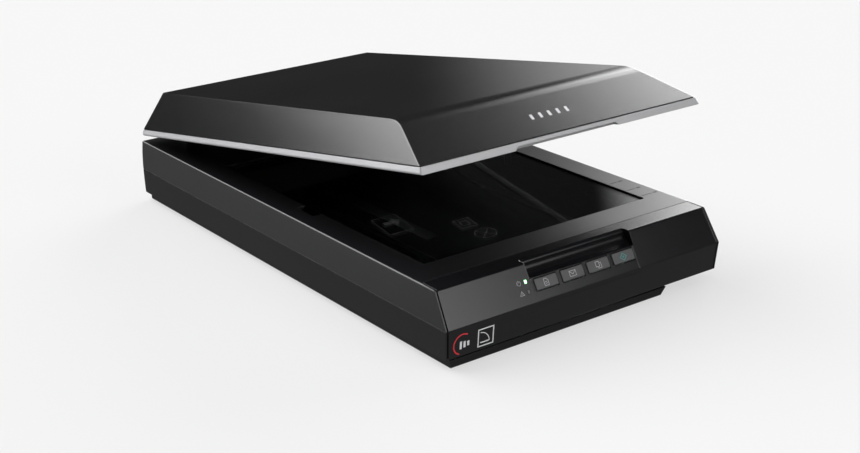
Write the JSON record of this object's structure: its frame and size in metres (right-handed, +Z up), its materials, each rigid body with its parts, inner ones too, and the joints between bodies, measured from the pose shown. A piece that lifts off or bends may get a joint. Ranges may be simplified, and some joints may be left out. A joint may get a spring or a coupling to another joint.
{
  "type": "flatbed scanner",
  "caption": "Flatbed scanner for documents and film: sloped black base with a glass bed and front buttons, and a wedge-edged lid on rising hinges, partly open.",
  "frame": {"origin": "on the desk, under the centre of the base", "axes": "+X to the right seen from the front, -Y towards the user, +Z up"},
  "size_m": [0.28, 0.485, 0.1664],
  "materials": {
    "case_black": "fine grain charcoal black",
    "fascia_black": "satin charcoal black",
    "button_grey": "satin mid grey with pale signs",
    "clear_plastic": "clear",
    "smoked_clear": "smoked clear",
    "white_plastic": "plain white",
    "glass": "polished",
    "foam": "closed foam tape",
    "rubber": "moulded",
    "steel": "zinc plated",
    "brass": "machined",
    "white_gear": "natural acetal",
    "board_green": "solder mask",
    "cable_black": "flat film cable in a black jacket",
    "socket_black": "black, lightly textured",
    "mirror_film": "front silvered",
    "lid_black": "fine grain charcoal black",
    "silver_trim": "silver painted, satin"
  },
  "bodies": {
    "base": {"lower_case": "case_black", "upper_case": "case_black", "front_fascia": "fascia_black", "button_insert": "fascia_black", "ready_light": "clear_plastic", "error_light": "clear_plastic", "calibration_strip": "white_plastic", "document_glass": "glass", "glass_seal": "foam", "rubber_feet": "rubber", "drive_belt": "rubber", "case_screws": "steel", "guide_rod": "steel", "rod_clips": "steel", "support_rail": "steel", "motor_bracket": "steel", "tension_spring": "steel", "stepper_motor": "steel", "main_board": "board_green", "switch_board": "board_green", "flat_cable": "cable_black", "usb_socket": "socket_black", "power_jack": "socket_black", "lid_cable_socket": "socket_black", "idler_bracket": "socket_black"},
    "left_hinge_post": {"left_hinge_post": "socket_black"},
    "right_hinge_post": {"right_hinge_post": "socket_black"},
    "lid": {"lid_top_shell": "lid_black", "lid_trim_frame": "silver_trim", "lid_inner_panel": "lid_black", "backlight_window": "smoked_clear", "backlight_diffuser": "white_plastic", "light_guide_plate": "clear_plastic", "backlight_board": "board_green", "lid_bumpers": "rubber", "lid_screws": "steel", "left_hinge_pin": "steel", "right_hinge_pin": "steel", "left_hinge_bracket": "socket_black", "right_hinge_bracket": "socket_black"},
    "scan_head": {"head_housing": "socket_black", "head_cover": "socket_black", "rod_bushes": "brass", "slide_pad": "white_plastic", "belt_clamp": "socket_black", "lamp_light_guide": "clear_plastic", "lamp_board": "board_green", "fold_mirrors": "mirror_film", "head_lens": "glass", "sensor_board": "board_green"},
    "drive_gear": {"reduction_gear": "white_gear", "drive_pulley": "white_gear"},
    "motor_pinion": {"motor_pinion": "brass"},
    "idler": {"idler_pulley": "white_gear"},
    "transport_lock": {"transport_lock": "socket_black"},
    "pdf_button": {"pdf_button": "button_grey"},
    "email_button": {"email_button": "button_grey"},
    "copy_button": {"copy_button": "button_grey"},
    "start_button": {"start_button": "button_grey"}
  },
  "joints": [
    {"name": "left_post_rise", "type": "slide", "parent": "base", "child": "left_hinge_post", "axis": [0, 0, 1], "range_m": [-0.006, 0.014]},
    {"name": "right_post_rise", "type": "slide", "parent": "base", "child": "right_hinge_post", "axis": [0, 0, 1], "range_m": [-0.006, 0.014]},
    {"name": "lid_hinge", "type": "hinge", "parent": "left_hinge_post", "child": "lid", "pos_m": [-0.085, 0.2377, 0.072], "axis": [-1, 0, 0], "range_deg": [-9.8, 60]},
    {"name": "head_travel", "type": "slide", "parent": "base", "child": "scan_head", "axis": [0, -1, 0], "range_m": [0, 0.305]},
    {"name": "drive_gear_turn", "type": "hinge", "parent": "base", "child": "drive_gear", "pos_m": [-0.045, 0.176, 0.012], "axis": [0, 0, -1], "continuous": true},
    {"name": "motor_pinion_turn", "type": "hinge", "parent": "base", "child": "motor_pinion", "pos_m": [-0.0225, 0.176, 0.0235], "axis": [0, 0, 1], "continuous": true},
    {"name": "idler_turn", "type": "hinge", "parent": "base", "child": "idler", "pos_m": [-0.045, -0.213, 0.012], "axis": [0, 0, -1], "continuous": true},
    {"name": "transport_lock_slide", "type": "slide", "parent": "base", "child": "transport_lock", "axis": [1, 0, 0], "range_m": [0, 0.01]},
    {"name": "pdf_button_press", "type": "slide", "parent": "base", "child": "pdf_button", "axis": [0, 0.8569, -0.5154], "range_m": [0, 0.0008], "stiffness_N_per_m": 1500, "springref_m": -0.001},
    {"name": "email_button_press", "type": "slide", "parent": "base", "child": "email_button", "axis": [0, 0.8569, -0.5154], "range_m": [0, 0.0008], "stiffness_N_per_m": 1500, "springref_m": -0.001},
    {"name": "copy_button_press", "type": "slide", "parent": "base", "child": "copy_button", "axis": [0, 0.8569, -0.5154], "range_m": [0, 0.0008], "stiffness_N_per_m": 1500, "springref_m": -0.001},
    {"name": "start_button_press", "type": "slide", "parent": "base", "child": "start_button", "axis": [0, 0.8569, -0.5154], "range_m": [0, 0.0008], "stiffness_N_per_m": 1500, "springref_m": -0.001}
  ],
  "couplings": [
    {"joint": "right_post_rise", "follows": "left_post_rise", "ratio": 1},
    {"joint": "drive_gear_turn", "follows": "head_travel", "rad_per_m": 142.86},
    {"joint": "motor_pinion_turn", "follows": "head_travel", "rad_per_m": 571.43},
    {"joint": "idler_turn", "follows": "head_travel", "rad_per_m": 142.86}
  ]
}
